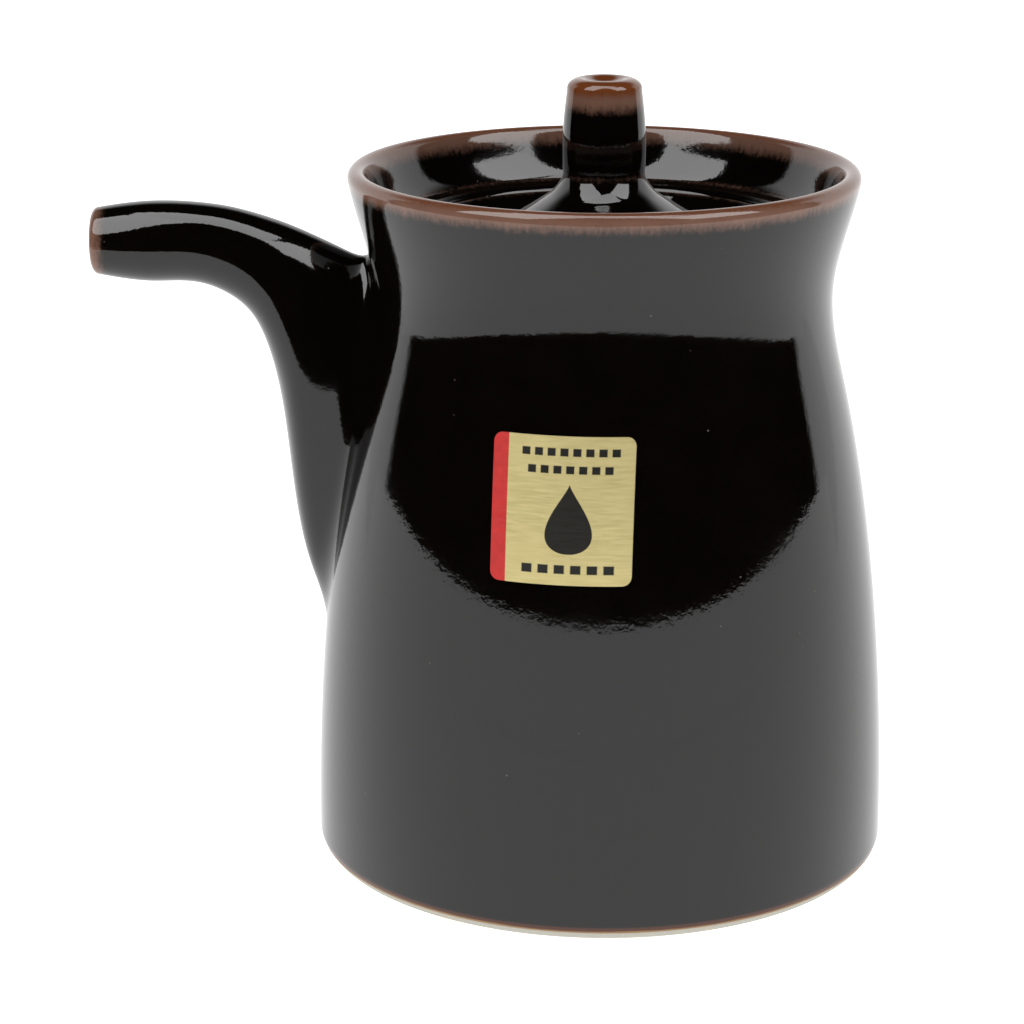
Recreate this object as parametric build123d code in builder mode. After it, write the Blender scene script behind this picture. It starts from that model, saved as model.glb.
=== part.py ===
from build123d import *
import math
import os

# A small glazed porcelain pouring pot: a waisted pot with a flared rim, a horn-shaped spout
# luted to its side, a lid sunk inside the rim, a knob luted to the lid, and a foil label.
# Millimetres. The origin is the centre of the foot on the surface the pot stands on, +Z is up
# and the spout points along -X.

# Pot, outside: radii and heights of the wall from the foot to the lip
base_radius = 30.0
base_height = 1.1  # top of the bare chamfer round the foot
foot_chamfer = 0.8  # how far the chamfer draws the foot in
belly_draw = 1.64  # how far the wall has drawn in from the base at the belly
belly_height = 30.4
shoulder_spread = 1.5  # how far the wall stands out from the waist at the shoulder
shoulder_depth = 22.6  # below the rim
waist_radius = 23.6
waist_depth = 11.7  # below the rim
rim_spread = 2.5  # how far the lip stands out from the waist
rim_height = 72.3
rim_flare = 10.6  # degrees that the wall leans out at the rim
lip_round = 0.95

# Pot, inside
wall = 3.0
floor_thickness = 3.5
floor_round = 4.0
foot_width = 3.6
foot_recess = 1.2
ledge_thickness = 2.8
rim_inside_lean = 22.0  # degrees that the inside of the rim leans in just below the lip

# Seat of the lid inside the rim
seat_depth = 10.6  # below the rim
seat_wall = 3.35  # wall left outside the recess at the waist
seat_width = 3.4  # how far the lid's edge overhangs its skirt
lid_gap = 0.3
throat_gap = 0.5
shelf_width = 1.8
shelf_rise = 0.75

# Lid: heights are above the seat
lid_edge_height = 4.5
lid_edge_round = 0.5
dish_inset = 2.8  # from the lid's edge to the lowest ring of its top
dish_height = 2.6
cone_radius = 9.2
cone_height = 5.55
lid_thickness = 2.6
boss_drop = 1.2  # how far the underside thickens towards the knob
skirt_wall = 2.0
skirt_depth = 5.7

# Knob
knob_seat_height = 8.9  # above the lid's seat
knob_foot_radius = 4.1
knob_belly_radius = 4.25
knob_belly_height = 4.35
knob_neck_radius = 3.8
knob_height = 10.65
knob_round = 1.1
knob_crest_radius = 2.4
dimple_radius = 1.5
dimple_depth = 0.5
vent_radius = 0.8

# Spout: a level tube that bends down into a deep root on the pot's side
spout_reach = 28.9  # from the waist to the mouth
spout_depth = 8.0  # the level tube's middle, below the rim
tube_depth = 8.3
tube_width = 8.1
mouth_depth = 6.7
mouth_width = 6.5
bend_start = 16.4  # from the waist to where the tube begins to bend
spout_wall = 1.5
root_width = 12.5
root_low = 22.8  # height of the root's lowest section, inside the wall
pour_hole_width = 7.0
pour_hole_height = 16.0
pour_hole_middle = 44.8

# Label
label_width = 13.9
label_height = 14.2
label_round = 0.9
label_thickness = 0.12
label_middle = 43.35
label_turn = 8.4  # degrees round from the front of the pot towards the spout

# What follows from the sizes above
foot_radius = base_radius - foot_chamfer
foot_inner_radius = foot_radius - foot_width
floor_height = foot_recess + floor_thickness
belly_radius = base_radius - belly_draw
shoulder_radius = waist_radius + shoulder_spread
shoulder_height = rim_height - shoulder_depth
waist_height = rim_height - waist_depth
rim_radius = waist_radius + rim_spread
seat_height = rim_height - seat_depth
ledge_height = seat_height - ledge_thickness
recess_radius = waist_radius - seat_wall
lid_radius = recess_radius - lid_gap
skirt_radius = lid_radius - seat_width
skirt_inner = skirt_radius - skirt_wall
throat_radius = skirt_radius + throat_gap
shelf_height = seat_height + lid_edge_height
crease_radius = recess_radius + shelf_width
crease_height = shelf_height + shelf_rise
lid_top = seat_height + knob_seat_height
knob_top = lid_top + knob_height
spout_height = rim_height - spout_depth
mouth_round = 0.43 * spout_wall


def lip_point(angle):
    """A point on the rounded lip, by its angle from straight out."""
    middle_x = rim_radius - lip_round
    middle_z = rim_height - lip_round
    turn = math.radians(angle)
    return (middle_x + lip_round * math.cos(turn), middle_z + lip_round * math.sin(turn))


def outside_points(growth):
    """The points that the outside of the pot passes through, moved out by growth."""
    rim_x, rim_z = lip_point(-rim_flare)
    return [
        (base_radius + growth, base_height),
        (belly_radius + growth, belly_height),
        (shoulder_radius + growth, shoulder_height),
        (waist_radius + growth, waist_height),
        (rim_x + growth, rim_z),
    ]


def rim_direction():
    turn = math.radians(rim_flare)
    return (math.sin(turn), math.cos(turn))


# Pot: the wall, floor, foot, rim and the ledge that the lid sits on
with BuildPart() as pot_body:
    with BuildSketch(Plane.XZ):
        with BuildLine():
            outside = Spline(*outside_points(0), tangents=[(0, 1), rim_direction()])
            lip = ThreePointArc(outside @ 1, lip_point(90), lip_point(180 - rim_inside_lean))
            rim_inside = TangentArc(lip @ 1, (crease_radius, crease_height), tangent=lip % 1)
            Polyline(
                rim_inside @ 1,
                (recess_radius, shelf_height),
                (recess_radius, seat_height),
                (throat_radius, seat_height),
                (throat_radius, ledge_height),
            )
            inside = Spline(
                (base_radius - wall, floor_height + floor_round),
                (belly_radius - wall, belly_height),
                (shoulder_radius - wall, shoulder_height),
                (throat_radius, ledge_height),
                tangents=[(0, 1), (-1, 1)],
            )
            RadiusArc(
                (base_radius - wall - floor_round, floor_height),
                inside @ 0,
                -floor_round,
            )
            Polyline(
                (base_radius - wall - floor_round, floor_height),
                (0, floor_height),
                (0, foot_recess),
                (foot_inner_radius - foot_recess, foot_recess),
                (foot_inner_radius, 0),
                (foot_radius, 0),
                outside @ 0,
            )
        make_face()
    revolve(axis=Axis.Z)
    # Hole through the wall behind the spout
    with BuildSketch(Plane.YZ.offset(-base_radius)):
        with Locations((0, pour_hole_middle)):
            Ellipse(pour_hole_width / 2, pour_hole_height / 2)
    extrude(amount=base_radius - throat_radius / 2, mode=Mode.SUBTRACT)
pot_body.part.label = "pot_body"

# The pot as if it were solid, to which the spout's root is cut
with BuildPart() as pot_core:
    with BuildSketch(Plane.XZ):
        with BuildLine():
            core_side = Spline(*outside_points(0), tangents=[(0, 1), rim_direction()])
            Polyline(core_side @ 1, (0, rim_height - lip_round), (0, base_height), core_side @ 0)
        make_face()
    revolve(axis=Axis.Z)

# Sections across the horn, from the mouth to inside the pot's wall: the upper and the lower
# point in the plane of the spout, as (distance out from the waist, height), and half the width.
level_top = spout_height + tube_depth / 2
level_bottom = spout_height - tube_depth / 2
level_middle = (spout_reach + bend_start) / 2
mouth_top = spout_height + mouth_depth / 2
mouth_bottom = spout_height - mouth_depth / 2
root_drop = level_bottom - root_low
tube_stations = [
    ((spout_reach, mouth_top), (spout_reach, mouth_bottom), mouth_width / 2),
    ((level_middle, level_top), (level_middle, level_bottom), tube_width / 2),
    ((bend_start, level_top - 0.3), (bend_start + 0.75, level_bottom - 0.3), tube_width / 2),
    ((13.3, level_top - 0.9), (13.85, level_bottom - 2.0), tube_width / 2 + 0.2),
    ((10.3, level_top - 1.8), (11.8, level_bottom - 4.6), tube_width / 2 + 0.6),
]
root_stations = [
    tube_stations[-1],
    ((7.65, level_top - 2.8), (10.0, level_bottom - 0.28 * root_drop), root_width / 2 - 1.1),
    ((5.2, level_top - 3.9), (9.0, level_bottom - 0.48 * root_drop), root_width / 2 - 0.5),
    ((1.0, level_top - 6.0), (7.45, level_bottom - 0.77 * root_drop), root_width / 2 - 0.6),
    ((-4.0, level_top - 9.0), (4.2, root_low), root_width / 2 - 2.0),
]


def station_plane(upper, lower):
    """The plane of a section, whose local X runs from the lower point to the upper one."""
    top = Vector(-waist_radius - upper[0], 0, upper[1])
    bottom = Vector(-waist_radius - lower[0], 0, lower[1])
    along = top - bottom
    return Plane(origin=(top + bottom) / 2, x_dir=along, z_dir=along.cross(Vector(0, 1, 0)))


def oval_points(upper, lower, half_width, inset):
    """Points round a section, from its upper end, drawn in from its outline by inset."""
    long_half = math.hypot(upper[0] - lower[0], upper[1] - lower[1]) / 2 - inset
    short_half = half_width - inset
    turns = [math.radians(45 * step) for step in range(8)]
    return [(long_half * math.cos(turn), short_half * math.sin(turn)) for turn in turns]


# Spout: the outside of the horn, its channel, and the rounded lip of its mouth
with BuildPart() as spout:
    for inset, mode in ((0, Mode.ADD), (spout_wall, Mode.SUBTRACT)):
        for stations in (tube_stations, root_stations):
            for upper, lower, half_width in stations:
                with BuildSketch(station_plane(upper, lower)):
                    with BuildLine():
                        Spline(*oval_points(upper, lower, half_width, inset), periodic=True)
                    make_face()
            loft(mode=mode)
    mouth_face = spout.faces().sort_by(Axis.X)[0]
    fillet(mouth_face.edges(), mouth_round)
    add(pot_core.part, mode=Mode.SUBTRACT)
spout.part.label = "spout"

# Lid: a dished disc with a raised edge, a cone up to the knob and a skirt that drops into
# the throat
with BuildPart() as lid:
    with BuildSketch(Plane.XZ):
        with BuildLine():
            cone = Spline(
                (knob_foot_radius, lid_top),
                (cone_radius, seat_height + cone_height),
                (lid_radius - dish_inset, seat_height + dish_height),
                (lid_radius - lid_edge_round, shelf_height),
                tangents=[(0.35, -1), (1, 0.55)],
            )
            edge = ThreePointArc(
                cone @ 1,
                (lid_radius - 0.2 * lid_edge_round, shelf_height - 0.35 * lid_edge_round),
                (lid_radius, shelf_height - lid_edge_round),
            )
            Polyline(
                edge @ 1,
                (lid_radius, seat_height),
                (skirt_radius, seat_height),
                (skirt_radius, seat_height - skirt_depth),
                (skirt_inner, seat_height - skirt_depth),
                (skirt_inner, seat_height),
            )
            underside = Spline(
                (skirt_inner, seat_height),
                (cone_radius, seat_height + cone_height - lid_thickness),
                (knob_foot_radius, lid_top - lid_thickness - boss_drop),
            )
            Polyline(
                underside @ 1,
                (vent_radius, lid_top - lid_thickness - boss_drop / 2),
                (vent_radius, lid_top),
                cone @ 0,
            )
        make_face()
    revolve(axis=Axis.Z)
lid.part.label = "lid"

# Knob: a stubby barrel with a dimple on top and a vent right through
with BuildPart() as lid_knob:
    with BuildSketch(Plane.XZ):
        with BuildLine():
            side = Spline(
                (knob_foot_radius, lid_top),
                (knob_belly_radius, lid_top + knob_belly_height),
                (knob_neck_radius, knob_top - knob_round),
            )
            crown = Spline(side @ 1, (knob_crest_radius, knob_top), tangents=[side % 1, (-1, 0)])
            ThreePointArc(
                crown @ 1,
                (dimple_radius, knob_top - dimple_depth / 3),
                (vent_radius, knob_top - dimple_depth),
            )
            Polyline((vent_radius, knob_top - dimple_depth), (vent_radius, lid_top), side @ 0)
        make_face()
    revolve(axis=Axis.Z)
lid_knob.part.label = "lid_knob"

# Label: a thin foil that follows the pot's wall, cut to a rounded rectangle
with BuildPart() as foil_label:
    with BuildSketch(Plane.XZ):
        with BuildLine():
            back = Spline(*outside_points(0), tangents=[(0, 1), rim_direction()])
            front = Spline(*outside_points(label_thickness), tangents=[(0, 1), rim_direction()])
            Line(back @ 0, front @ 0)
            Line(back @ 1, front @ 1)
        make_face()
    revolve(axis=Axis.Z)
    facing = Plane(
        origin=(0, 0, label_middle),
        x_dir=Vector(1, 0, 0).rotate(Axis.Z, -label_turn),
        z_dir=Vector(0, -1, 0).rotate(Axis.Z, -label_turn),
    )
    with BuildSketch(facing):
        RectangleRounded(label_width, label_height, label_round)
    extrude(amount=base_radius + label_thickness, mode=Mode.INTERSECT)
foil_label.part.label = "foil_label"

os.makedirs("parts", exist_ok=True)
for piece in (pot_body, spout, lid, lid_knob, foil_label):
    export_step(piece.part, f"parts/{piece.part.label}.step")
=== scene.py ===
import bpy
import math
import numpy as np
from mathutils import Matrix, Vector


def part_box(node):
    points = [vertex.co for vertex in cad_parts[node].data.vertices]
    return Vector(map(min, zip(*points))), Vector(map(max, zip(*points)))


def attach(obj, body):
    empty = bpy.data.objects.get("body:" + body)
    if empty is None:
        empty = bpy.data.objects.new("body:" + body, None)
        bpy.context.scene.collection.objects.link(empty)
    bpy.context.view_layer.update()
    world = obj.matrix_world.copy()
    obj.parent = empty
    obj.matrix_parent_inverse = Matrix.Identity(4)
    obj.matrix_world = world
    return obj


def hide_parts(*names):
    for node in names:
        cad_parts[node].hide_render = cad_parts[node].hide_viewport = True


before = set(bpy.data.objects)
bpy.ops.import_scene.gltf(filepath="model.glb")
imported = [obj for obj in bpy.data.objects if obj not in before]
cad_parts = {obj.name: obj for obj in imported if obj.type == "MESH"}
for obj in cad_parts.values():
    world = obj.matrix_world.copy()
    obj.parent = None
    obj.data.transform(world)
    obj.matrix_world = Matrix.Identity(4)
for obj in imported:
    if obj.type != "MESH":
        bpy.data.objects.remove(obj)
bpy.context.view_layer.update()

# Looks of a small soy sauce pot in black-brown glaze. Shapes are worked out in millimetres in
# the frame's own axes (+Z up, spout along -X) and written to the meshes in metres.
MM = 0.001


def node_box(node):
    """Lowest and highest corner of a CAD node, in millimetres."""
    low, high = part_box(node)
    return np.array(low) / MM, np.array(high) / MM


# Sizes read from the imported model
pot_high = node_box("pot_body")[1]
lid_low, lid_high = node_box("lid")
knob_high = node_box("lid_knob")[1]
spout_low = node_box("spout")[0]
label_low, label_high = node_box("foil_label")
base_radius = pot_high[1]
rim_height = pot_high[2]
lid_radius = lid_high[1]
lid_top = lid_high[2]
knob_top = knob_high[2]
mouth_x = spout_low[0]

# Outside of the pot
base_height = 1.1
belly_draw = 1.64
belly_height = 30.4
waist_radius = 23.6
waist_height = rim_height - 11.7
shoulder_radius = waist_radius + 1.5
shoulder_height = rim_height - 22.6
rim_radius = waist_radius + 2.5
lip_round = 0.95
rim_flare = 10.6  # degrees
foot_chamfer = 0.8
foot_width = 3.6
foot_recess = 1.2

# Inside of the pot
wall = 3.0
floor_height = foot_recess + 3.5
floor_round = 4.0
seat_height = rim_height - 10.6
recess_radius = lid_radius + 0.3
throat_radius = recess_radius - 3.2
ledge_height = seat_height - 2.8
shelf_height = seat_height + 4.5
crease_radius = recess_radius + 1.8
crease_height = shelf_height + 0.75
rim_inside_lean = 22.0  # degrees
ledge_out = 2.2  # the slope under the ledge runs out by this
ledge_down = 2.4  # and down by this
pour_hole = (7.0, 16.0)
pour_hole_middle = 44.8

ROUND = 192  # steps round the pot and the lid


class Curve:
    """A cubic through the points, with the slope at each end given or left free."""

    def __init__(self, at, values, slopes=(None, None)):
        self.at = np.array(at, float)
        self.values = np.array(values, float)
        count = len(self.at)
        gaps = np.diff(self.at)
        shape = (-1,) + (1,) * (self.values.ndim - 1)
        rises = np.diff(self.values, axis=0) / gaps.reshape(shape)
        matrix = np.zeros((count, count))
        right = np.zeros_like(self.values)
        for i in range(1, count - 1):
            matrix[i, i - 1] = 1 / gaps[i - 1]
            matrix[i, i] = 2 / gaps[i - 1] + 2 / gaps[i]
            matrix[i, i + 1] = 1 / gaps[i]
            right[i] = 3 * (rises[i - 1] / gaps[i - 1] + rises[i] / gaps[i])
        for end, beside, rise, slope in ((0, 1, rises[0], slopes[0]), (-1, -2, rises[-1], slopes[1])):
            matrix[end, end] = 1
            right[end] = slope if slope is not None else 1.5 * rise
            matrix[end, beside] = 0 if slope is not None else 0.5
        self.slopes = np.linalg.solve(matrix, right)

    def __call__(self, where):
        where = np.asarray(where, float)
        i = np.clip(np.searchsorted(self.at, where) - 1, 0, len(self.at) - 2)
        gap = self.at[i + 1] - self.at[i]
        u = (where - self.at[i]) / gap
        if self.values.ndim > 1:
            gap = gap[..., None]
            u = u[..., None]
        result = (2 * u**3 - 3 * u**2 + 1) * self.values[i]
        result = result + (3 * u**2 - 2 * u**3) * self.values[i + 1]
        result = result + gap * (u**3 - 2 * u**2 + u) * self.slopes[i]
        return result + gap * (u**3 - u**2) * self.slopes[i + 1]


def lip_point(angle):
    """A point on the rounded lip, by its angle in degrees from straight out."""
    turn = math.radians(angle)
    r = rim_radius - lip_round + lip_round * math.cos(turn)
    return (r, rim_height - lip_round + lip_round * math.sin(turn))


lip_start = lip_point(-rim_flare)
wall_radius = Curve(
    [base_height, belly_height, shoulder_height, waist_height, lip_start[1]],
    [base_radius, base_radius - belly_draw, shoulder_radius, waist_radius, lip_start[0]],
    (0.0, math.tan(math.radians(rim_flare))),
)


def arc(middle, radius, start, end, steps):
    """Points (radius, height) on an arc; angles in degrees from straight out."""
    turns = np.radians(np.linspace(start, end, steps))
    return [(middle[0] + radius * math.cos(t), middle[1] + radius * math.sin(t)) for t in turns]


def bezier(start, start_pull, end_pull, end, steps):
    """Points on a cubic from start to end that leaves and arrives along the two pulls."""
    start, end = np.array(start, float), np.array(end, float)
    first, last = start + np.array(start_pull), end - np.array(end_pull)
    result = []
    for t in np.linspace(0, 1, steps):
        near = (1 - t) ** 3 * start + 3 * t * (1 - t) ** 2 * first
        result.append(tuple(near + 3 * t**2 * (1 - t) * last + t**3 * end))
    return result


def soften(points, reach):
    """Cuts each corner of a run back by reach, twice, so that it ends up rounded."""
    for _ in range(2):
        result = [points[0]]
        for before, here, after in zip(points, points[1:], points[2:]):
            here = np.array(here)
            for other in (np.array(before), np.array(after)):
                gap = max(np.linalg.norm(other - here), 1e-6)
                result.append(tuple(here + (other - here) * min(reach / gap, 0.3)))
        result.append(points[-1])
        points = result
        reach *= 0.4
    return points


def divide(points, step):
    """Adds points to a run so that none of its stretches is longer than step."""
    result = [points[0]]
    for a, b in zip(points, points[1:]):
        pieces = max(1, math.ceil(math.dist(a, b) / step))
        for k in range(1, pieces + 1):
            t = k / pieces
            result.append((a[0] + (b[0] - a[0]) * t, a[1] + (b[1] - a[1]) * t))
    return result


def new_object(name, points, faces, smooth_angle=None):
    """A mesh object from points in millimetres."""
    mesh = bpy.data.meshes.new(name)
    mesh.from_pydata([tuple(p) for p in np.array(points) * MM], [], faces)
    mesh.validate()
    mesh.shade_smooth()
    if smooth_angle is not None:
        mesh.set_sharp_from_angle(angle=math.radians(smooth_angle))
    made = bpy.data.objects.new(name, mesh)
    bpy.context.scene.collection.objects.link(made)
    return made


def revolve(name, profile, closed=False, smooth_angle=35):
    """A mesh turned about the vertical axis from (radius, height) points. An open profile
    starts and ends on the axis."""
    turns = np.linspace(0, 2 * math.pi, ROUND, endpoint=False)
    rings = profile if closed else profile[1:-1]
    points = [(r * math.cos(t), r * math.sin(t), z) for r, z in rings for t in turns]
    faces = []
    bands = len(rings) if closed else len(rings) - 1
    for band in range(bands):
        low, high = band * ROUND, (band + 1) % len(rings) * ROUND
        for i in range(ROUND):
            j = (i + 1) % ROUND
            faces.append((low + i, low + j, high + j, high + i))
    if not closed:
        for end, ring in ((profile[0], 0), (profile[-1], (len(rings) - 1) * ROUND)):
            points.append((0, 0, end[1]))
            for i in range(ROUND):
                j = (i + 1) % ROUND
                fan = (ring + j, ring + i) if ring == 0 else (ring + i, ring + j)
                faces.append((len(points) - 1,) + fan)
    return new_object(name, points, faces, smooth_angle)


def write_attribute(piece, name, values):
    """Stores one number for each point of a mesh, for its material to read."""
    attribute = piece.data.attributes.new(name, "FLOAT", "POINT")
    attribute.data.foreach_set("value", np.array(values, np.float32))


def mesh_points(piece):
    """The points of a mesh in millimetres, one to a row."""
    flat = np.zeros(len(piece.data.vertices) * 3)
    piece.data.vertices.foreach_get("co", flat)
    return flat.reshape(-1, 3) / MM


DEPTH_LIMIT = 3.0  # the two depth attributes, for thin glaze (on the lid also a painted reflection) and for bare clay, run from minus this to this


def edge_depth(distance, width):
    """How far inside an edge of this width each point lies, in millimetres. It is above 0 where the glaze
    thins to brown."""
    return np.clip(width - distance, -DEPTH_LIMIT, DEPTH_LIMIT)


# ---- Pot -------------------------------------------------------------------------------------
foot_outer = base_radius - foot_chamfer
foot_inner = foot_outer - foot_width
wall_bottom = base_height + 0.8  # the top of the rounded corner above the foot
foot_run = soften(
    [
        (0, foot_recess),
        (foot_inner - foot_recess, foot_recess),
        (foot_inner, 0),
        (foot_outer, 0),
        (base_radius, base_height),
        (float(wall_radius(wall_bottom)), wall_bottom),
    ],
    0.3,
)
wall_heights = np.linspace(wall_bottom, lip_start[1], 74)[1:-1]
wall_run = [(float(wall_radius(z)), z) for z in wall_heights]
lip_middle = (rim_radius - lip_round, rim_height - lip_round)
lip_run = arc(lip_middle, lip_round, -rim_flare, 180 - rim_inside_lean, 17)
lean = math.radians(rim_inside_lean)
rim_inside = bezier(
    lip_run[-1],
    (-1.8 * math.sin(lean), -1.8 * math.cos(lean)),
    (-1.2, -1.15),
    (crease_radius, crease_height),
    12,
)
seat_run = soften(
    rim_inside
    + [
        (recess_radius, shelf_height),
        (recess_radius, seat_height),
        (throat_radius, seat_height),
        (throat_radius, ledge_height),
        (throat_radius + ledge_out, ledge_height - ledge_down),
    ],
    0.25,
)[1:]
cavity_top = ledge_height - ledge_down
corner_top = floor_height + floor_round
cavity = Curve(
    [corner_top, belly_height, shoulder_height, cavity_top],
    [
        base_radius - wall,
        base_radius - belly_draw - wall,
        shoulder_radius - wall,
        throat_radius + ledge_out,
    ],
    (0.0, -0.75),
)
cavity_run = [(float(cavity(z)), z) for z in np.linspace(cavity_top, corner_top, 40)[1:]]
floor_corner = arc((base_radius - wall - floor_round, corner_top), floor_round, 0, -90, 9)[1:]
pot_profile = foot_run + wall_run + lip_run + divide(seat_run, 1.2) + cavity_run + floor_corner
pot_profile = pot_profile + [(12.0, floor_height), (0, floor_height)]
glazed_pot = revolve("glazed_pot", pot_profile)

# The hole that the spout pours through
hole_turns = np.linspace(0, 2 * math.pi, 48, endpoint=False)
hole_ring = [
    (pour_hole[0] / 2 * math.cos(t), pour_hole_middle + pour_hole[1] / 2 * math.sin(t)) for t in hole_turns
]
hole_points = [(x, y, z) for x in (-base_radius - 2, -throat_radius / 2) for y, z in hole_ring]
hole_count = len(hole_ring)
hole_faces = [tuple(range(hole_count)), tuple(range(2 * hole_count - 1, hole_count - 1, -1))]
for i in range(hole_count):
    j = (i + 1) % hole_count
    hole_faces.append((i, i + hole_count, j + hole_count, j))
hole_cutter = new_object("hole_cutter", hole_points, hole_faces)
cut = glazed_pot.modifiers.new("pour_hole", "BOOLEAN")
cut.operation = "DIFFERENCE"
cut.object = hole_cutter
cut.solver = "EXACT"


def apply_modifiers(piece):
    """Replaces a piece's mesh with what its modifiers make of it."""
    shown = piece.evaluated_get(bpy.context.evaluated_depsgraph_get())
    mesh = bpy.data.meshes.new_from_object(shown)
    piece.modifiers.clear()
    piece.data = mesh


apply_modifiers(glazed_pot)
bpy.data.objects.remove(hole_cutter)
glazed_pot.data.set_sharp_from_angle(angle=math.radians(35))

pot_points = mesh_points(glazed_pot)
pot_radii = np.hypot(pot_points[:, 0], pot_points[:, 1])
below_rim = rim_height - pot_points[:, 2]
outside = pot_radii > wall_radius(np.clip(pot_points[:, 2], base_height, lip_start[1])) - 0.4
brown_outside = 1.7
brown_inside = 1.6
rim_edge = edge_depth(below_rim, np.where(outside, brown_outside, brown_inside))
shelf_edge = edge_depth(np.hypot(pot_radii - crease_radius, pot_points[:, 2] - crease_height), -0.15)
write_attribute(glazed_pot, "thin_glaze_and_painted_reflection", np.maximum(rim_edge, shelf_edge))
glaze_end = base_height + 0.05
bare = np.where(pot_radii > foot_inner - 1.4, glaze_end - pot_points[:, 2], -DEPTH_LIMIT)
write_attribute(glazed_pot, "bare", np.clip(bare, -DEPTH_LIMIT, DEPTH_LIMIT))

# ---- Spout -----------------------------------------------------------------------------------
# Sections of the horn: upper and lower point as (distance out from the waist, height), and
# half the width
spout_middle = rim_height - 8.0
spout_reach = -waist_radius - mouth_x
level = 4.15
root_drop = spout_middle - level - 22.8
STATIONS = [
    ((spout_reach, spout_middle + 3.35), (spout_reach, spout_middle - 3.35), 3.25),
    ((22.65, spout_middle + level), (22.65, spout_middle - level), 4.05),
    ((16.4, spout_middle + level - 0.3), (17.15, spout_middle - level - 0.3), 4.05),
    ((13.3, spout_middle + level - 0.9), (13.85, spout_middle - level - 2.0), 4.25),
    ((10.3, spout_middle + level - 1.8), (11.8, spout_middle - level - 4.6), 4.65),
    ((7.65, spout_middle + level - 2.8), (10.0, spout_middle - level - 0.28 * root_drop), 5.15),
    ((5.2, spout_middle + level - 3.9), (9.0, spout_middle - level - 0.48 * root_drop), 5.75),
    ((1.0, spout_middle + level - 6.0), (7.45, spout_middle - level - 0.77 * root_drop), 5.65),
    ((-4.0, spout_middle + level - 9.0), (4.2, spout_middle - level - root_drop), 4.25),
]
spout_wall = 1.5
mouth_round = 0.62
HORN_ROUND = 96
middles = np.array([(np.array(upper) + np.array(lower)) / 2 for upper, lower, _ in STATIONS])
station_at = np.concatenate([[0], np.cumsum(np.linalg.norm(np.diff(middles, axis=0), axis=1))])
upper_line = Curve(station_at, [s[0] for s in STATIONS])
lower_line = Curve(station_at, [s[1] for s in STATIONS])
half_width = Curve(station_at, [s[2] for s in STATIONS])
horn_length = station_at[-1]
turns = np.linspace(0, 2 * math.pi, HORN_ROUND, endpoint=False)


def horn_point(along, turn, inset=0.0):
    """Points on the horn, along it from the mouth and round each section from its top."""
    upper, lower = upper_line(along), lower_line(along)
    middle, half = (upper + lower) / 2, (upper - lower) / 2
    size = np.linalg.norm(half, axis=-1, keepdims=True)
    direction = half / size
    out = middle + direction * (size - inset) * np.cos(turn)[..., None]
    sideways = (half_width(along) - inset) * np.sin(turn)
    return np.stack([-waist_radius - out[..., 0], sideways, out[..., 1]], axis=-1)


def wall_gap(points):
    """How far points stand off the pot's wall."""
    heights = np.clip(points[..., 2], base_height, lip_start[1])
    slope = (wall_radius(heights + 0.05) - wall_radius(heights - 0.05)) / 0.1
    return (np.hypot(points[..., 0], points[..., 1]) - wall_radius(heights)) / np.hypot(1, slope)


def wall_normal(points):
    heights = np.clip(points[..., 2], base_height, lip_start[1])
    slope = (wall_radius(heights + 0.05) - wall_radius(heights - 0.05)) / 0.1
    radii = np.hypot(points[..., 0], points[..., 1])
    normal = np.stack([points[..., 0] / radii, points[..., 1] / radii, -slope], axis=-1)
    return normal / np.linalg.norm(normal, axis=-1, keepdims=True)


def onto_wall(points):
    """Moves points onto the pot's wall."""
    for _ in range(4):
        points = points - wall_normal(points) * wall_gap(points)[..., None]
    return points


def meets_wall(inset, gap):
    """For each turn, how far along the horn its line comes within gap of the wall."""
    low, high = np.full(HORN_ROUND, station_at[2]), np.full(HORN_ROUND, horn_length)
    for _ in range(40):
        middle = (low + high) / 2
        clear = wall_gap(horn_point(middle, turns, inset)) > gap
        low, high = np.where(clear, middle, low), np.where(clear, high, middle)
    return low


def lengths_along(ends, inset, count):
    """Steps along each of the horn's lines, evenly spaced over its length, up to its end."""
    fine = np.linspace(0, 1, 240)[:, None] * ends
    run = horn_point(fine, np.broadcast_to(turns, fine.shape), inset)
    steps = np.linalg.norm(np.diff(run, axis=0), axis=-1)
    total = np.concatenate([np.zeros((1, HORN_ROUND)), np.cumsum(steps, axis=0)])
    wanted = np.linspace(0, 1, count)
    lines = []
    for k in range(HORN_ROUND):
        lines.append(np.interp(wanted * total[-1, k], total[:, k], fine[:, k]))
    return np.stack(lines, 1)


crease_at = meets_wall(0.0, 0.0)
crease = onto_wall(horn_point(crease_at, turns))
heel = horn_point(crease_at, turns) - horn_point(crease_at - 0.5, turns)
fillet_up = 3.4
fillet_out = 2.9 - 1.0 * np.cos(turns) ** 8
leave_at = crease_at - fillet_up * 0.5 / np.linalg.norm(heel, axis=-1)
crease_way = np.roll(crease, -1, axis=0) - np.roll(crease, 1, axis=0)
crease_way /= np.linalg.norm(crease_way, axis=-1, keepdims=True)
away = np.cross(wall_normal(crease), crease_way)
centre = crease.mean(axis=0)
away *= np.sign(np.sum(away * (crease - centre), axis=-1, keepdims=True))
foot_line = onto_wall(crease + away * fillet_out[:, None])
leave = horn_point(leave_at, turns)
leaving = leave - horn_point(leave_at - 0.2, turns)
leaving /= np.linalg.norm(leaving, axis=-1, keepdims=True)
reach_out = foot_line - leave
normal_there = wall_normal(foot_line)
pull = np.sum(reach_out * normal_there, axis=-1) / np.sum(leaving * normal_there, axis=-1)
corner = leave + leaving * np.clip(pull, 0.8, 6.0)[:, None]
fillet_rows = []
for t in np.linspace(0, 1, 15)[1:]:
    fillet_rows.append((1 - t) ** 2 * leave + 2 * t * (1 - t) * corner + t**2 * foot_line)
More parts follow.
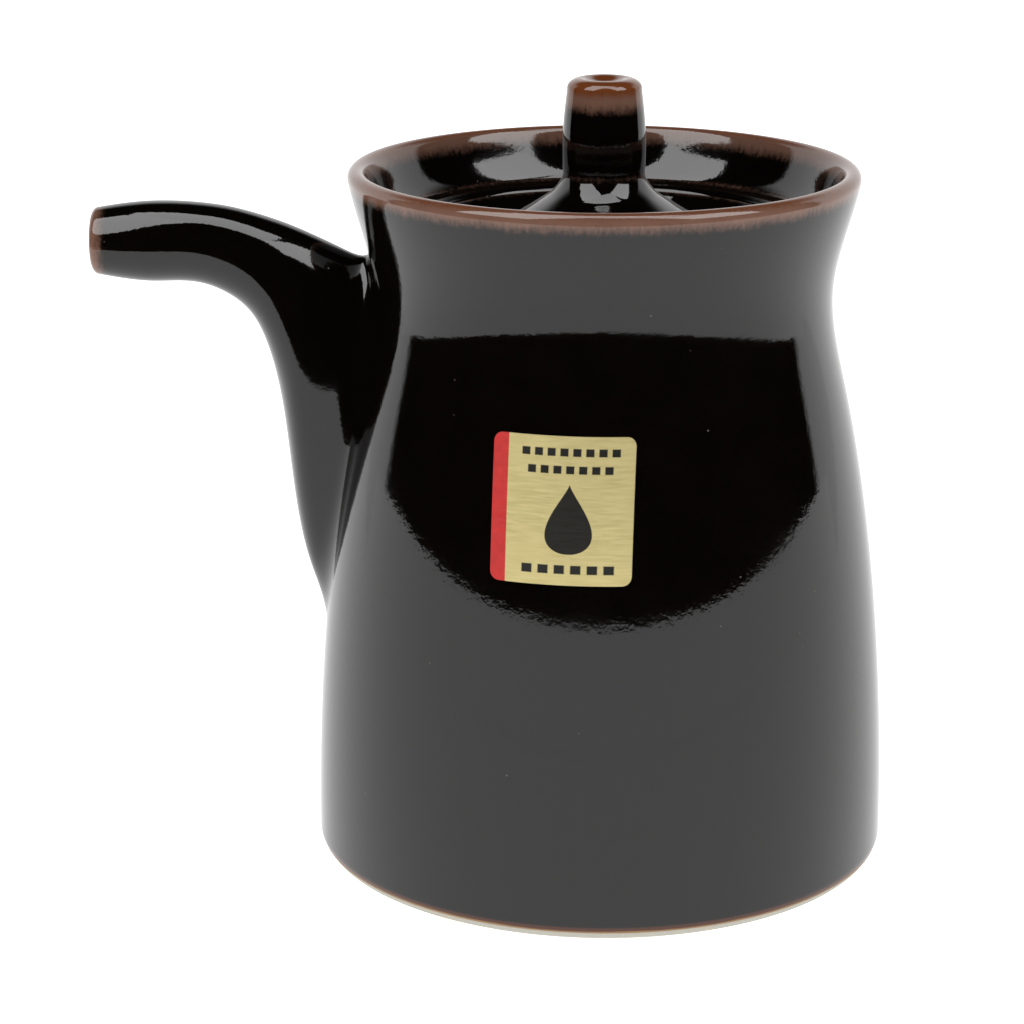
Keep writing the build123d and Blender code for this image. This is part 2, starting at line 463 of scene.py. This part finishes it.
tuck = onto_wall(foot_line + away * 0.5) - normal_there * 0.2
tuck_deep = tuck - normal_there * 0.9

outer_steps = lengths_along(leave_at, 0.0, 72)
outer_rows = [horn_point(row, turns) for row in outer_steps]
inner_ends = meets_wall(spout_wall, -1.2)
inner_rows = [horn_point(row, turns, spout_wall) for row in lengths_along(inner_ends, spout_wall, 56)]

# The mouth's lip rounds over from the outside to the channel
lip_rows = []
for angle in np.radians(np.linspace(0, 180, 11)):
    inset = spout_wall / 2 * (1 - math.cos(angle))
    back = mouth_round * (1 - math.sin(angle))
    lip_rows.append(horn_point(np.full(HORN_ROUND, back), turns, inset))
clear_outer = [row for row, steps in zip(outer_rows, outer_steps) if steps.min() > mouth_round + 0.15]
horn_rows = [tuck_deep, tuck] + fillet_rows[::-1] + clear_outer[::-1] + lip_rows + inner_rows[2:]
horn_grid = np.array(horn_rows)
horn_points = horn_grid.reshape(-1, 3)
horn_faces = []
for row in range(len(horn_rows)):
    low, high = row * HORN_ROUND, (row + 1) % len(horn_rows) * HORN_ROUND
    for i in range(HORN_ROUND):
        j = (i + 1) % HORN_ROUND
        horn_faces.append((low + i, low + j, high + j, high + i))
glazed_spout = new_object("glazed_spout", horn_points, horn_faces)
# The fillet ends flush with the wall, and shades as the wall does there
across = np.roll(horn_grid, -1, axis=1) - np.roll(horn_grid, 1, axis=1)
along_rows = np.roll(horn_grid, -1, axis=0) - np.roll(horn_grid, 1, axis=0)
horn_normals = np.cross(across, along_rows)
horn_normals /= np.maximum(np.linalg.norm(horn_normals, axis=-1, keepdims=True), 1e-9)
horn_normals[:3] = normal_there
glazed_spout.data.normals_split_custom_set_from_vertices(horn_normals.reshape(-1, 3).tolist())
from_mouth = horn_points[:, 0] - mouth_x
write_attribute(glazed_spout, "thin_glaze_and_painted_reflection", edge_depth(from_mouth, 1.1))
write_attribute(glazed_spout, "bare", np.full(len(horn_points), -DEPTH_LIMIT))

# ---- Lid and knob ----------------------------------------------------------------------------
cone_radius = 9.2
cone_height = 5.55
dish_radius = lid_radius - 2.8
dish_height = 2.6
edge_round = 0.5
knob_foot = 4.1
knob_belly = 4.25
knob_neck = 3.8
knob_round = 1.1
knob_crest = 2.4
dimple_depth = 0.5
vent_radius = 0.8
skirt_outer = lid_radius - 3.4
skirt_inner = skirt_outer - 2.0
skirt_bottom = lid_low[2]
knob_join = lid_top + 1.0

cone_points = [
    (knob_foot, lid_top),
    (4.9, lid_top - 0.75),
    (cone_radius, seat_height + cone_height),
    (14.55, seat_height + 3.25),
    (dish_radius, seat_height + dish_height),
    (lid_radius - edge_round, shelf_height - 0.05),
]
cone = Curve([r for r, z in cone_points], [z for r, z in cone_points], (-1.6, 0.62))
knob_side = Curve(
    [lid_top, lid_top + 4.35, knob_top - knob_round],
    [knob_foot, knob_belly, knob_neck],
)
fillet_end = 5.6
knob_fillet = bezier(
    (float(knob_side(knob_join)), knob_join),
    (0.03, -0.75),
    (0.55, -0.42),
    (fillet_end, float(cone(fillet_end))),
    9,
)
knob_wall = [(float(knob_side(z)), z) for z in np.linspace(knob_top - knob_round, knob_join, 22)]
knob_crown = bezier(
    (knob_crest, knob_top), (0.75, 0), (-0.09, -0.62), (knob_neck, knob_top - knob_round), 9
)
dimple = bezier(
    (vent_radius, knob_top - dimple_depth), (0.35, 0.02), (0.55, 0.02), (knob_crest, knob_top), 8
)
cone_run = [(r, float(cone(r))) for r in np.linspace(fillet_end, lid_radius - edge_round, 34)]
edge_run = arc((lid_radius - edge_round, shelf_height - edge_round), edge_round, 90, 0, 6)
under_run = soften(
    [
        edge_run[-1],
        (lid_radius, seat_height),
        (skirt_outer, seat_height),
        (skirt_outer, skirt_bottom),
        (skirt_inner, skirt_bottom),
        (skirt_inner, seat_height),
        (cone_radius, seat_height + cone_height - 2.6),
        (knob_foot, lid_top - 3.8),
        (vent_radius, lid_top - 3.2),
    ],
    0.3,
)[1:]
vent_run = [(vent_radius, z) for z in np.linspace(lid_top - 3.2, knob_top - dimple_depth, 16)[1:-1]]
lid_profile = dimple + knob_crown[1:] + knob_wall[1:] + knob_fillet[1:] + cone_run[1:]
lid_profile = lid_profile + edge_run[1:] + divide(under_run, 1.2) + vent_run
glazed_lid = revolve("glazed_lid", lid_profile[::-1], closed=True)
lid_points = mesh_points(glazed_lid)
lid_radii = np.hypot(lid_points[:, 0], lid_points[:, 1])
from_edge = np.hypot(lid_radii - lid_radius + 0.25, lid_points[:, 2] - shelf_height + 0.1)
knob_edge = edge_depth(knob_top - lid_points[:, 2], 2.8)
knob_edge[lid_radii < vent_radius + 0.05] = -DEPTH_LIMIT
# A faint streaky brown ring round the knob's heel is a painted reflection of the pot's brown rim. It goes
# into the same depths as the lid's real thin glaze.
knob_heel_painted_reflection = edge_depth(np.abs(lid_points[:, 2] - knob_join + 0.1), -0.2)
lid_thin_glaze_and_painted_reflection = np.maximum(np.maximum(edge_depth(from_edge, 0.0), knob_edge), knob_heel_painted_reflection)
write_attribute(glazed_lid, "thin_glaze_and_painted_reflection", lid_thin_glaze_and_painted_reflection)
# The lid's seat and the end of its skirt are wiped clean of glaze before firing
on_seat = (np.abs(lid_points[:, 2] - seat_height) < 0.25) & (lid_radii > skirt_outer - 0.1)
skirt_end = lid_points[:, 2] < skirt_bottom + 0.5
write_attribute(glazed_lid, "bare", np.where(on_seat | skirt_end, 1.5, -1.5))

# ---- Label -----------------------------------------------------------------------------------
label_middle = (label_low[2] + label_high[2]) / 2
label_turn = math.radians(8.4)
label_width = 13.9
label_height = 14.2
label_thickness = 0.12
corner_round = 0.9
LABEL_STEPS = 56


def label_outline(u, v, inset):
    """Maps a square, -1 to 1 each way, onto the label with its rounded corners."""
    half_w, half_h = label_width / 2 - inset, label_height / 2 - inset
    x, y = u * half_w, v * half_h
    over_x, over_y = abs(x) - half_w + corner_round, abs(y) - half_h + corner_round
    if over_x > 0 and over_y > 0:
        reach = math.hypot(over_x, over_y)
        scale = max(over_x, over_y) / reach
        x = math.copysign(half_w - corner_round + over_x * scale, x)
        y = math.copysign(half_h - corner_round + over_y * scale, y)
    return x, y


label_points = []
label_u = []
label_v = []
steps = np.linspace(-1, 1, LABEL_STEPS)
for lift, inset in ((0.0, 0.0), (label_thickness, 0.03)):
    for v in steps:
        for u in steps:
            x, y = label_outline(u, v, inset)
            height = label_middle + y
            radius = float(wall_radius(height)) + lift - 0.01
            turn = math.asin(x / radius) - label_turn
            label_points.append((radius * math.sin(turn), -radius * math.cos(turn), height))
            label_u.append(x)
            label_v.append(y)
label_faces = []
sheet_count = LABEL_STEPS * LABEL_STEPS
for row in range(LABEL_STEPS - 1):
    for column in range(LABEL_STEPS - 1):
        a = row * LABEL_STEPS + column
        b, c, d = a + 1, a + LABEL_STEPS + 1, a + LABEL_STEPS
        label_faces.append((d, c, b, a))
        label_faces.append(tuple(k + sheet_count for k in (a, b, c, d)))
border = [(0, k) for k in range(LABEL_STEPS)] + [(k, LABEL_STEPS - 1) for k in range(1, LABEL_STEPS)]
border += [(LABEL_STEPS - 1, k) for k in range(LABEL_STEPS - 2, -1, -1)]
border += [(k, 0) for k in range(LABEL_STEPS - 2, 0, -1)]
ring = [row * LABEL_STEPS + column for row, column in border]
for a, b in zip(ring, ring[1:] + ring[:1]):
    label_faces.append((a, b, b + sheet_count, a + sheet_count))
printed_label = new_object("printed_label", label_points, label_faces, 40)
write_attribute(printed_label, "across", label_u)
write_attribute(printed_label, "up", label_v)


# ---- Materials -------------------------------------------------------------------------------
class Nodes:
    """Short ways to add shader nodes to one material or world."""

    def __init__(self, tree):
        self.tree = tree

    def add(self, kind, **settings):
        node = self.tree.nodes.new(kind)
        for name, value in settings.items():
            setattr(node, name, value)
        return node

    def feed(self, socket, value):
        if isinstance(value, bpy.types.NodeSocket):
            self.tree.links.new(value, socket)
        elif value is not None:
            socket.default_value = value

    def math(self, operation, a, b=None, clamp=False):
        node = self.add("ShaderNodeMath", operation=operation, use_clamp=clamp)
        self.feed(node.inputs[0], a)
        self.feed(node.inputs[1], b)
        return node.outputs[0]

    def attribute(self, name):
        return self.add("ShaderNodeAttribute", attribute_name=name).outputs["Fac"]

    def place(self, scale=(1, 1, 1)):
        """Where the surface is, in the piece's own frame in metres, stretched by scale."""
        where = self.add("ShaderNodeTexCoord").outputs["Object"]
        stretch = self.add("ShaderNodeMapping")
        self.feed(stretch.inputs["Vector"], where)
        stretch.inputs["Scale"].default_value = scale
        return stretch.outputs["Vector"]

    def noise(self, vector, scale, detail=2.0, roughness=0.5):
        node = self.add("ShaderNodeTexNoise")
        self.feed(node.inputs["Vector"], vector)
        node.inputs["Scale"].default_value = scale
        node.inputs["Detail"].default_value = detail
        node.inputs["Roughness"].default_value = roughness
        return node.outputs["Fac"]

    def ramp(self, value, low, high, out_low=0.0, out_high=1.0):
        """A smooth step from out_low to out_high as value goes from low to high."""
        node = self.add("ShaderNodeMapRange", interpolation_type="SMOOTHSTEP")
        for name, given in (
            ("Value", value),
            ("From Min", low),
            ("From Max", high),
            ("To Min", out_low),
            ("To Max", out_high),
        ):
            self.feed(node.inputs[name], given)
        return node.outputs["Result"]

    def mix(self, share, a, b):
        """Colour a where share is 0 and colour b where it is 1."""
        node = self.add("ShaderNodeMix", data_type="RGBA")
        self.feed(node.inputs["Factor"], share)
        self.feed(node.inputs[6], a)
        self.feed(node.inputs[7], b)
        return node.outputs[2]

    def bump(self, height, distance, strength=1.0, normal=None):
        node = self.add("ShaderNodeBump")
        node.inputs["Strength"].default_value = strength
        node.inputs["Distance"].default_value = distance
        self.feed(node.inputs["Height"], height)
        self.feed(node.inputs["Normal"], normal)
        return node.outputs["Normal"]


def rgb(red, green, blue):
    """A colour given as it shows on a screen, 0 to 255."""
    shown = [c / 255 for c in (red, green, blue)]
    return [c / 12.92 if c < 0.04045 else ((c + 0.055) / 1.055) ** 2.4 for c in shown] + [1.0]


def new_material(name):
    made = bpy.data.materials.new(name)
    made.use_nodes = True
    tree = made.node_tree
    return made, Nodes(tree), tree.nodes["Principled BSDF"]


def make_glaze():
    made, n, shader = new_material("tenmoku_glaze")
    where = n.place()
    streaks = n.noise(n.place((1, 1, 0.22)), 2300, 3.0, 0.6)
    patches = n.noise(where, 260, 3.0, 0.55)
    fine = n.noise(where, 2600, 2.0, 0.6)
    # Depth of thin glaze, which turns it brown. On the lid it also holds a painted reflection of the rim,
    # as a brown ring at the knob's heel.
    depth = n.attribute("thin_glaze_and_painted_reflection")
    wander = n.math("SUBTRACT", streaks, 0.5)
    wander = n.math("ADD", wander, n.math("MULTIPLY", n.math("SUBTRACT", patches, 0.5), 0.5))
    wander = n.math("ADD", wander, n.math("MULTIPLY", n.math("SUBTRACT", fine, 0.5), 0.6))
    thin_glaze_and_painted_reflection = n.ramp(n.math("ADD", depth, wander), -0.6, 0.8)
    thinnest = n.ramp(n.math("ADD", depth, n.math("MULTIPLY", wander, 0.6)), 1.0, 1.9)
    brown = n.mix(patches, rgb(98, 70, 57), rgb(118, 87, 74))
    brown = n.mix(thinnest, brown, rgb(104, 56, 28))
    dark = n.mix(patches, rgb(4, 3, 2), rgb(8, 5, 4))
    colour = n.mix(thin_glaze_and_painted_reflection, dark, brown)
    # Small pale specks where gas broke through the glaze
    specks = n.add("ShaderNodeTexVoronoi")
    n.feed(specks.inputs["Vector"], where)
    specks.inputs["Scale"].default_value = 420
    speck = n.ramp(specks.outputs["Distance"], 0.045, 0.02)
    speck = n.math("MULTIPLY", speck, n.ramp(n.noise(where, 170), 0.48, 0.56))
    colour = n.mix(n.math("MULTIPLY", speck, 0.6), colour, rgb(120, 110, 104))
    # The bare, fired clay of the foot and seats
    grain = n.noise(where, 5200, 4.0, 0.7)
    clay = n.mix(grain, rgb(150, 148, 138), rgb(190, 187, 176))
    stain = n.ramp(n.noise(where, 210, 3.0), 0.5, 0.75)
    clay = n.mix(n.math("MULTIPLY", stain, 0.35), clay, rgb(190, 160, 120))
    bare_depth = n.attribute("bare")
    bare_wander = n.math("MULTIPLY", n.math("SUBTRACT", patches, 0.5), 0.2)
    bare = n.ramp(n.math("ADD", bare_depth, bare_wander), -0.06, 0.06)
    # The glaze ends in a thin brown line, with an ochre one on the clay beside it
    brown_line = n.ramp(bare_depth, -0.5, -0.3)
    colour = n.mix(brown_line, colour, rgb(70, 34, 16))
    ochre_line = n.ramp(bare_depth, 0.12, 0.3, 1.0, 0.0)
    clay = n.mix(ochre_line, clay, rgb(140, 104, 62))
    colour = n.mix(bare, colour, clay)
    n.feed(shader.inputs["Base Color"], colour)
    smear = n.noise(where, 60, 3.0, 0.6)
    gloss = n.ramp(smear, 0.35, 0.75, 0.035, 0.085)
    gloss = n.math("ADD", gloss, n.math("MULTIPLY", speck, 0.3))
    n.feed(shader.inputs["Roughness"], n.ramp(bare, 0.0, 1.0, gloss, 0.75))
    shader.inputs["IOR"].default_value = 1.55
    peel = n.noise(where, 330, 2.0, 0.5)
    ripple = n.noise(where, 1500, 2.0, 0.6)
    surface = n.bump(peel, 0.00002, 0.35)
    surface = n.bump(ripple, 0.00001, 0.7, surface)
    rough_clay = n.math("MULTIPLY", grain, bare)
    surface = n.bump(rough_clay, 0.00004, 0.8, surface)
    n.feed(shader.inputs["Normal"], surface)
    return made


def make_label():
    made, n, shader = new_material("label_foil_print")
    across = n.attribute("across")
    up = n.attribute("up")
    where = n.place()

    def band(value, low, high, soft=0.05):
        inside = n.ramp(value, low - soft, low + soft)
        return n.math("MULTIPLY", inside, n.ramp(value, high - soft, high + soft, 1.0, 0.0))

    def dashes(height, thickness, pitch, count):
        """A row of whole dashes centred beside the stripe."""
        from_start = n.math("SUBTRACT", across, print_middle - count * pitch / 2)
        row = band(up, height - thickness / 2, height + thickness / 2)
        dash = band(n.math("FRACT", n.math("DIVIDE", from_start, pitch)), 0.18, 0.82, 0.04)
        span = band(from_start, 0.0, count * pitch)
        return n.math("MULTIPLY", n.math("MULTIPLY", row, dash), span)

    print_middle = 0.75
    ink = dashes(5.6, 0.75, 1.25, 8)
    ink = n.math("MAXIMUM", ink, dashes(3.95, 0.75, 1.25, 7))
    ink = n.math("MAXIMUM", ink, dashes(-5.55, 0.85, 1.6, 6))
    # A plain drop: a round bottom that draws up to a point
    drop_bottom, drop_top = -4.1, 2.6
    share = n.math("DIVIDE", n.math("SUBTRACT", up, drop_bottom), drop_top - drop_bottom, clamp=True)
    draw_in = n.math("POWER", n.math("SUBTRACT", 1.0, share), 1.3)
    half = n.math("MULTIPLY", n.math("MULTIPLY", n.math("SQRT", share), draw_in), 6.7)
    from_middle = n.math("ABSOLUTE", n.math("SUBTRACT", across, print_middle))
    drop = n.ramp(n.math("SUBTRACT", from_middle, half), -0.05, 0.05, 1.0, 0.0)
    drop = n.math("MULTIPLY", drop, band(up, drop_bottom, drop_top))
    ink = n.math("MAXIMUM", ink, drop)

    brushed = n.noise(n.place((1, 1, 14)), 420, 3.0, 0.6)
    foil = n.mix(brushed, rgb(212, 194, 126), rgb(232, 218, 160))
    stripe_edge = n.math("ADD", across, n.math("MULTIPLY", n.noise(where, 3000), 0.04))
    stripe = n.ramp(stripe_edge, -5.42, -5.34, 1.0, 0.0)
    red = n.mix(n.noise(where, 1400), rgb(168, 14, 10), rgb(204, 30, 24))
    colour = n.mix(stripe, foil, red)
    colour = n.mix(ink, colour, rgb(26, 24, 16))
    n.feed(shader.inputs["Base Color"], colour)
    printed = n.math("MAXIMUM", stripe, ink)
    n.feed(shader.inputs["Metallic"], n.ramp(printed, 0.0, 1.0, 0.55, 0.0))
    n.feed(shader.inputs["Roughness"], n.ramp(brushed, 0.3, 0.7, 0.36, 0.46))
    crinkle = n.noise(where, 700, 2.0)
    surface = n.bump(crinkle, 0.00001, 0.3)
    n.feed(shader.inputs["Normal"], n.bump(printed, 0.000006, 0.6, surface))
    return made


glaze = make_glaze()
for piece in (glazed_pot, glazed_spout, glazed_lid):
    piece.data.materials.clear()
    piece.data.materials.append(glaze)
printed_label.data.materials.append(make_label())

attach(glazed_pot, "pot")
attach(glazed_spout, "pot")
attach(printed_label, "pot")
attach(glazed_lid, "lid")
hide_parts("pot_body")
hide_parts("spout")
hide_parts("foil_label")
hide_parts("lid", "lid_knob")

# ---- Camera, floor and lights ----------------------------------------------------------------
scene = bpy.context.scene
scene.view_settings.view_transform = "Standard"
camera_data = bpy.data.cameras.new("camera")
camera_data.lens = 109.385
camera_data.sensor_width = 36.0
camera = bpy.data.objects.new("camera", camera_data)
look_down = Matrix.Rotation(math.radians(90 - 16.491), 4, "X")
swing = Matrix.Rotation(math.radians(1.715), 4, "Z")
level_off = Matrix.Rotation(math.radians(-0.045), 4, "Z")
camera.matrix_world = Matrix.Translation((0, -0.31329, 0.12830)) @ swing @ look_down @ level_off
camera_data.clip_start = 0.01
scene.collection.objects.link(camera)
scene.camera = camera


def card(name, corners, brightness, tint=(1, 1, 1)):
    """A lit stage card that only reflections see. Corners are in metres."""
    mesh = bpy.data.meshes.new(name)
    mesh.from_pydata(corners, [], [tuple(range(len(corners)))])
    made = bpy.data.objects.new(name, mesh)
    scene.collection.objects.link(made)
    material = bpy.data.materials.new(name)
    material.use_nodes = True
    n = Nodes(material.node_tree)
    material.node_tree.nodes.clear()
    lit = n.add("ShaderNodeEmission")
    lit.inputs["Color"].default_value = tint + (1.0,)
    lit.inputs["Strength"].default_value = brightness
    out = n.add("ShaderNodeOutputMaterial")
    n.feed(out.inputs["Surface"], lit.outputs[0])
    mesh.materials.append(material)
    made.visible_camera = False
    made.visible_diffuse = False
    made.visible_shadow = False
    return made


def softbox(name, azimuth, elevation, distance, width, height, brightness):
    """A window-shaped card that faces the pot. Azimuth is from the front, towards +X."""
    a, e = math.radians(azimuth), math.radians(elevation)
    back = Vector((math.sin(a) * math.cos(e), -math.cos(a) * math.cos(e), math.sin(e)))
    middle = Vector((0, 0, 0.06)) + back * distance
    side = back.cross(Vector((0, 0, 1))).normalized()
    rise = side.cross(back).normalized()
    corners = []
    for s, r in ((-1, -1), (1, -1), (1, 1), (-1, 1)):
        corners.append(tuple(middle + side * (s * width / 2) + rise * (r * height / 2)))
    return card(name, corners, brightness)


floor_size = 4.0
floor_mesh = bpy.data.meshes.new("floor")
floor_corners = []
for x, y in ((-1, -1), (1, -1), (1, 1), (-1, 1)):
    floor_corners.append((x * floor_size, y * floor_size, -0.00002))
floor_mesh.from_pydata(floor_corners, [], [(0, 1, 2, 3)])
floor = bpy.data.objects.new("floor", floor_mesh)
scene.collection.objects.link(floor)
floor.visible_glossy = False
floor_material = bpy.data.materials.new("pale_floor")
floor_material.use_nodes = True
n = Nodes(floor_material.node_tree)
floor_material.node_tree.nodes.clear()
paper = n.add("ShaderNodeBsdfDiffuse")
paper.inputs["Color"].default_value = (0.9, 0.9, 0.9, 1)
glow = n.add("ShaderNodeEmission")
glow.inputs["Strength"].default_value = 0.8
both = n.add("ShaderNodeAddShader")
n.feed(both.inputs[0], paper.outputs[0])
n.feed(both.inputs[1], glow.outputs[0])
out = n.add("ShaderNodeOutputMaterial")
n.feed(out.inputs["Surface"], both.outputs[0])
floor_mesh.materials.append(floor_material)

# What the glaze reflects: a white sweep that ends in front of the pot, dark beyond it
SWEEP_STEPS = 72
sweep_level = -0.00004
sweep_rise = 0.026  # height of the sweep's upright front edge
sweep_glow = 1.22
sweep_edge = []
for k in range(SWEEP_STEPS + 1):
    azimuth = math.radians(-112 + 224 * k / SWEEP_STEPS)
    reach = 0.11 + 0.11 * min(1.0, abs(azimuth) / math.radians(90)) ** 2
    sweep_edge.append((math.sin(azimuth) * reach, -math.cos(azimuth) * reach))
sweep_floor = [(x, y, sweep_level) for x, y in sweep_edge + [(3.0, 3.0), (-3.0, 3.0)]]
card("sweep_floor", sweep_floor, sweep_glow)
for k in range(SWEEP_STEPS):
    (ax, ay), (bx, by) = sweep_edge[k], sweep_edge[k + 1]
    upright = [(ax, ay, 0), (bx, by, 0), (bx, by, sweep_rise), (ax, ay, sweep_rise)]
    card("sweep_edge_%02d" % k, upright, sweep_glow)

softbox("left_window", -52, 50, 0.7, 0.44, 0.6, 4.3)
softbox("top_window", -14, 80, 0.8, 0.62, 0.4, 4.0)
softbox("right_window", 58, 46, 0.7, 0.42, 0.5, 4.5)

world = bpy.data.worlds.new("studio")
scene.world = world
world.use_nodes = True
world.node_tree.nodes.clear()
n = Nodes(world.node_tree)
direction = n.add("ShaderNodeSeparateXYZ")
n.feed(direction.inputs[0], n.add("ShaderNodeTexCoord").outputs["Generated"])
level_reach = n.math("SQRT", n.math("SUBTRACT", 1.0, n.math("POWER", direction.outputs["Z"], 2.0)))
behind = n.math("DIVIDE", direction.outputs["Y"], n.math("MAXIMUM", level_reach, 0.02))
behind = n.ramp(behind, 0.28, 0.38)
behind = n.math("MULTIPLY", behind, n.ramp(direction.outputs["Z"], 0.75, 0.4))
reflected = n.ramp(behind, 0.0, 1.0, 0.002, 1.1)
path = n.add("ShaderNodeLightPath")
brightness = n.mix(path.outputs["Is Glossy Ray"], [0.95, 0.95, 0.95, 1], [0, 0, 0, 1])
glossy_part = n.math("MULTIPLY", path.outputs["Is Glossy Ray"], reflected)
sky = n.add("ShaderNodeBackground")
n.feed(sky.inputs["Color"], brightness)
mirror = n.add("ShaderNodeBackground")
mirror.inputs["Color"].default_value = (1, 1, 1, 1)
n.feed(mirror.inputs["Strength"], glossy_part)
whole = n.add("ShaderNodeAddShader")
n.feed(whole.inputs[0], sky.outputs[0])
n.feed(whole.inputs[1], mirror.outputs[0])
out = n.add("ShaderNodeOutputWorld")
n.feed(out.inputs["Surface"], whole.outputs[0])

bpy.context.view_layer.update()
